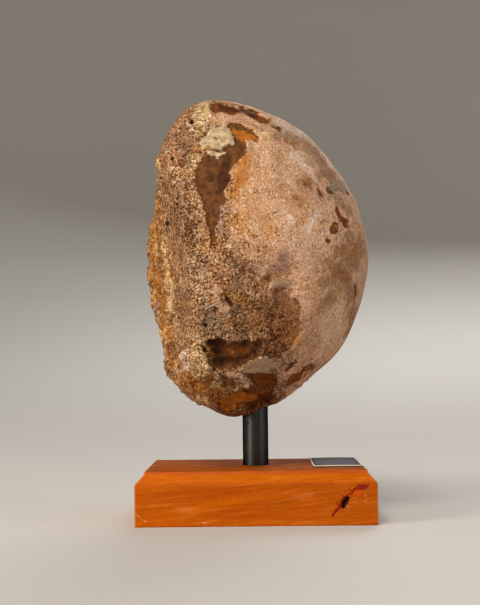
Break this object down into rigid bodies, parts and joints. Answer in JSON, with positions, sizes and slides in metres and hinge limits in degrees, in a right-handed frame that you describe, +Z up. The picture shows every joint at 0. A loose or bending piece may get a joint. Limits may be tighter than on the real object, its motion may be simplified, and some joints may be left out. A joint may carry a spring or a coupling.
{
  "type": "fossil mammoth femur head on a stand",
  "caption": "Domed head of a fossil thigh bone with a rough flat growth face, held on an upright steel rod in a bevelled wooden base with a small label.",
  "frame": {"origin": "middle of the base's flat underside", "axes": "+Z up along the rod, -Y the front of the stand, -X the side that the bone's rough growth face looks to"},
  "size_m": [0.1257, 0.165, 0.2268],
  "materials": {
    "fossil_bone": "matt, porous fossil bone with polished brown windows",
    "black_steel": "satin black powder coat",
    "lacquered_wood": "red-brown cherry with a satin lacquer",
    "label_card": "printed label under clear film"
  },
  "bodies": {
    "root": {"femoral_head": "fossil_bone", "support_rod": "black_steel", "wooden_base": "lacquered_wood", "label_plate": "label_card"}
  },
  "joints": []
}
